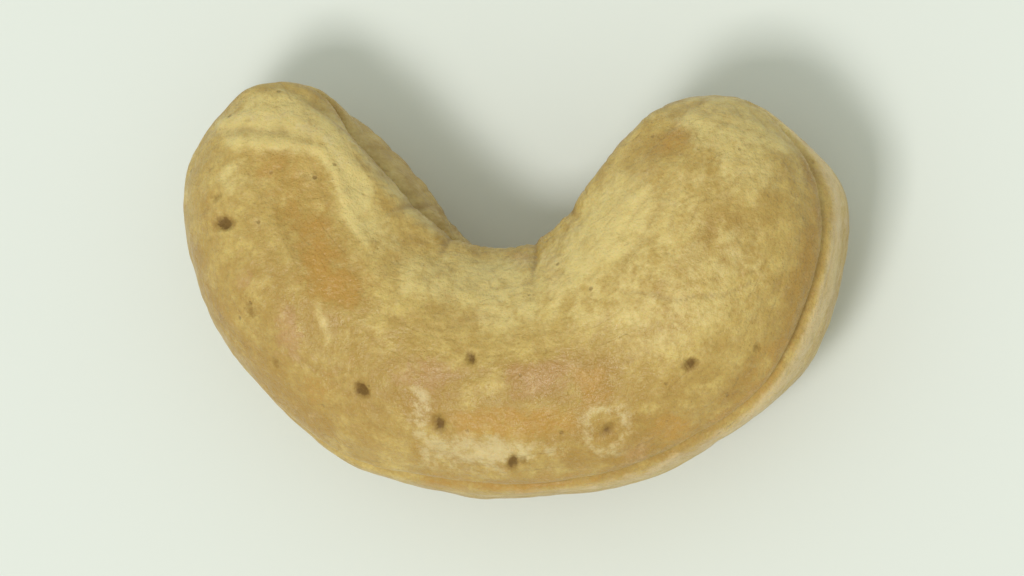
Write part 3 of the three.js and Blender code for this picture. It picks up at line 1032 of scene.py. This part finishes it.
def plain_flesh(m, place, grain):
    """Large soft patches, then the mottling."""
    patch = m.span(m.clouds(place, 0.16, 2.0, 0.5, 0.4), 0.38, 0.62)
    color = m.mix(patch, shade("flesh"), shade("light flesh"))
    for name, stretch, scale, detail, roughness, distortion, shown, strength in MOTTLING:
        vector = m.stretched(grain, stretch) if stretch else place
        noise_here = m.clouds(vector, scale, detail, roughness, distortion)
        color = m.tint(color, m.span(noise_here, *shown), strength, name)
    return color


def roasted_flesh():
    m = Mixer("roasted_flesh")
    place = m.object_mm()
    grain = m.stored_vector("grain")
    color = plain_flesh(m, place, grain)

    # Marks have ragged, soft edges.
    ragged = m.span(m.clouds(place, 1.5, 4.0, 0.6), 0.28, 0.72, -0.22, 0.22)
    fine_ragged = m.span(m.clouds(place, 4.5, 3.0, 0.6), 0.3, 0.7, -0.12, 0.12)
    rough_edge = m.math("ADD", ragged, fine_ragged)

    def mark(name, low, high):
        return m.span(m.math("ADD", m.stored(name), rough_edge), low, high)

    def elsewhere(scale, low, high, strength):
        """Patches of noise where the placed marks don't reach."""
        blotches = m.span(m.clouds(place, scale), low, high)
        return m.math("MULTIPLY", m.math("MULTIPLY", m.stored("unseen"), blotches), strength)

    # Toast, with the painted shade of the seam's groove and of a few patches in the same mask.
    toast_and_shade = m.math("MAXIMUM", mark("toast_and_shade", 0.0, 1.0), elsewhere(0.34, 0.42, 0.6, 0.6))
    color = m.tint(color, toast_and_shade, 0.9, "toast_and_shade")
    color = m.tint(color, mark("orange", 0.1, 0.95), 0.8, "orange")
    pink = m.math("MAXIMUM", mark("pink", 0.1, 0.9), elsewhere(0.45, 0.54, 0.68, 0.7))
    color = m.tint(color, pink, 0.55, "pink")
    # Pale patches, two of them partly painted light where the skin slopes away from the lamp.
    pale = mark("pale", 0.1, 0.95)
    color = m.tint(color, pale, 0.8, "pale")
    color = m.mix(m.span(m.stored("raised"), 0.02, 0.16, 0.0, 0.35), color, shade("raised"))
    color = m.tint(color, mark("rim", 0.1, 0.9), 0.72, "rim")
    flaked = m.span(m.clouds(place, 1.6, 5.0, 0.75), 0.36, 0.64, -0.45, 0.35)
    scuff = m.math("MAXIMUM", m.stored("scuff"), elsewhere(0.5, 0.58, 0.72, 0.6))
    scuff = m.span(m.math("ADD", scuff, flaked), 0.1, 1.15)
    color = m.tint(color, scuff, 0.66, "scuff")
    color = m.tint(color, m.stored("furrow"), 0.25, "furrow")
    # Painted shade in the valley along the seam, on the concave side.
    color = m.tint(color, m.stored("valley_shade"), 0.3, "valley_shade")
    # Brown lines, folds and split; the brown round the plump tip is painted shade of the groove.
    brown = m.math("ADD", m.stored("brown"), m.math("MULTIPLY", fine_ragged, 0.6))
    color = m.mix(m.span(brown, 0.1, 0.7, 0.0, 0.7), color, shade("brown"))
    pit = m.math("ADD", m.stored("pit"), m.math("MULTIPLY", fine_ragged, 0.8))
    color = m.mix(m.span(pit, 0.2, 0.6, 0.0, 0.55), color, shade("pit halo"))
    color = m.mix(m.span(pit, 0.55, 0.85, 0.0, 0.8), color, shade("pit heart"))

    # Pinholes, a few to each square millimetre.
    holes = m.node("ShaderNodeTexVoronoi", {"feature": "F1"}, Vector=place, Scale=1.1, Randomness=1.0)
    few = m.span(m.clouds(place, 0.6, 2.0), 0.48, 0.6)
    pinhole = m.math("MULTIPLY", m.span(holes.outputs["Distance"], 0.05, 0.13, 1.0, 0.0), few)
    color = m.tint(color, pinhole, 0.6, "pinhole")

    # Soft wrinkles along the body.
    fold = m.clouds(m.stretched(grain, (0.28, 0.8, 0.8)), 1.0, 1.0, 0.4)
    fold = m.span(m.math("ABSOLUTE", m.math("SUBTRACT", fold, 0.5), 0.0), 0.0, 0.035, 1.0, 0.0)
    wrinkle = m.math("MULTIPLY", fold, m.span(m.clouds(place, 0.4, 2.0), 0.44, 0.62))
    color = m.tint(color, wrinkle, 0.1, "furrow")
    m.feed(m.shader.inputs["Base Color"], color)

    # Smooth toasted skin shines a little more than the dry, pale flesh, and so do the patches of painted
    # shade in its mask; pits don't shine.
    rough = m.span(m.clouds(place, 1.2, 3.0), 0.3, 0.7, 0.34, 0.48)
    rough = m.math("SUBTRACT", rough, m.math("MULTIPLY", toast_and_shade, 0.06))
    rough = m.math("ADD", rough, m.math("MULTIPLY", m.math("MAXIMUM", pale, scuff), 0.1))
    rough = m.math("ADD", rough, m.math("MULTIPLY", m.stored("pit"), 0.4))
    m.feed(m.shader.inputs["Roughness"], rough)

    fibres = m.clouds(m.stretched(grain, (0.9, 3.4, 3.4)), 1.0, 3.0, 0.55)
    bumps = m.bump(m.clouds(place, 1.9, 4.0, 0.6), PEBBLE_BUMP)
    bumps = m.bump(fibres, FIBRE_BUMP, bumps)
    bumps = m.bump(m.clouds(place, 7.5, 2.0, 0.5), PORE_BUMP, bumps)
    bumps = m.bump(wrinkle, WRINKLE_BUMP, bumps)
    bumps = m.bump(pinhole, PINHOLE_BUMP, bumps)
    m.feed(m.shader.inputs["Normal"], bumps)
    m.shader.inputs["IOR"].default_value = FLESH_IOR
    m.shader.inputs["Specular IOR Level"].default_value = FLESH_GLOSS
    m.shader.inputs["Subsurface Weight"].default_value = GLOW_SHARE
    m.shader.inputs["Subsurface Radius"].default_value = GLOW_BY_COLOR
    m.shader.inputs["Subsurface Scale"].default_value = GLOW_DEPTH * MM
    return m.material


def studio_floor():
    sheet = bmesh.new()
    bmesh.ops.create_grid(sheet, x_segments=8, y_segments=8, size=FLOOR_HALF_SIZE)
    mesh = bpy.data.meshes.new("floor")
    sheet.to_mesh(mesh)
    sheet.free()
    floor = bpy.data.objects.new("floor", mesh)
    bpy.context.scene.collection.objects.link(floor)
    m = Mixer("floor_paper")
    m.shader.inputs["Base Color"].default_value = shade("floor")
    m.shader.inputs["Roughness"].default_value = FLOOR_ROUGHNESS
    m.shader.inputs["Specular IOR Level"].default_value = FLOOR_GLOSS
    mesh.materials.append(m.material)


def aim(thing, target):
    """Points a camera or lamp at the target, with +Y upwards in its picture."""
    back = (thing.location - target).normalized()
    right = Vector((0, 1, 0)).cross(back).normalized()
    axes = Matrix((right, back.cross(right), back)).transposed()
    thing.rotation_euler = axes.to_euler()


def studio_light():
    world = bpy.data.worlds.new("studio")
    world.use_nodes = True
    background = world.node_tree.nodes["Background"]
    background.inputs["Color"].default_value = shade("daylight")
    background.inputs["Strength"].default_value = SKY_STRENGTH
    bpy.context.scene.world = world
    lamp = bpy.data.lights.new("window", "AREA")
    lamp.shape = "SQUARE"
    lamp.size = WINDOW_SIDE
    lamp.energy = WINDOW_WATTS
    lamp.color = WINDOW_COLOR
    window = bpy.data.objects.new("window", lamp)
    window.location = WINDOW_PLACE
    aim(window, Vector((0, 0, 0)))
    bpy.context.scene.collection.objects.link(window)


def photo_camera():
    """Looks down from above and a little to the plump side, as at this kernel in the photograph."""
    low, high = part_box("cashew_kernel")
    middle = (low + high) / 2
    lens = bpy.data.cameras.new("camera")
    camera = bpy.data.objects.new("camera", lens)
    camera.location = middle + Vector(CAMERA_OFFSET)
    aim(camera, middle)
    shown_width = (high.x - low.x) / KERNEL_SHARE_OF_PICTURE
    distance = (camera.location - middle).length
    lens.lens = lens.sensor_width * distance / shown_width
    bpy.context.scene.collection.objects.link(camera)
    bpy.context.scene.camera = camera


photo_camera()
kernel = build_kernel()
kernel.data.materials.append(roasted_flesh())
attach(kernel, "root")
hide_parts("cashew_kernel")
studio_floor()
studio_light()
bpy.context.scene.view_settings.view_transform = "Standard"
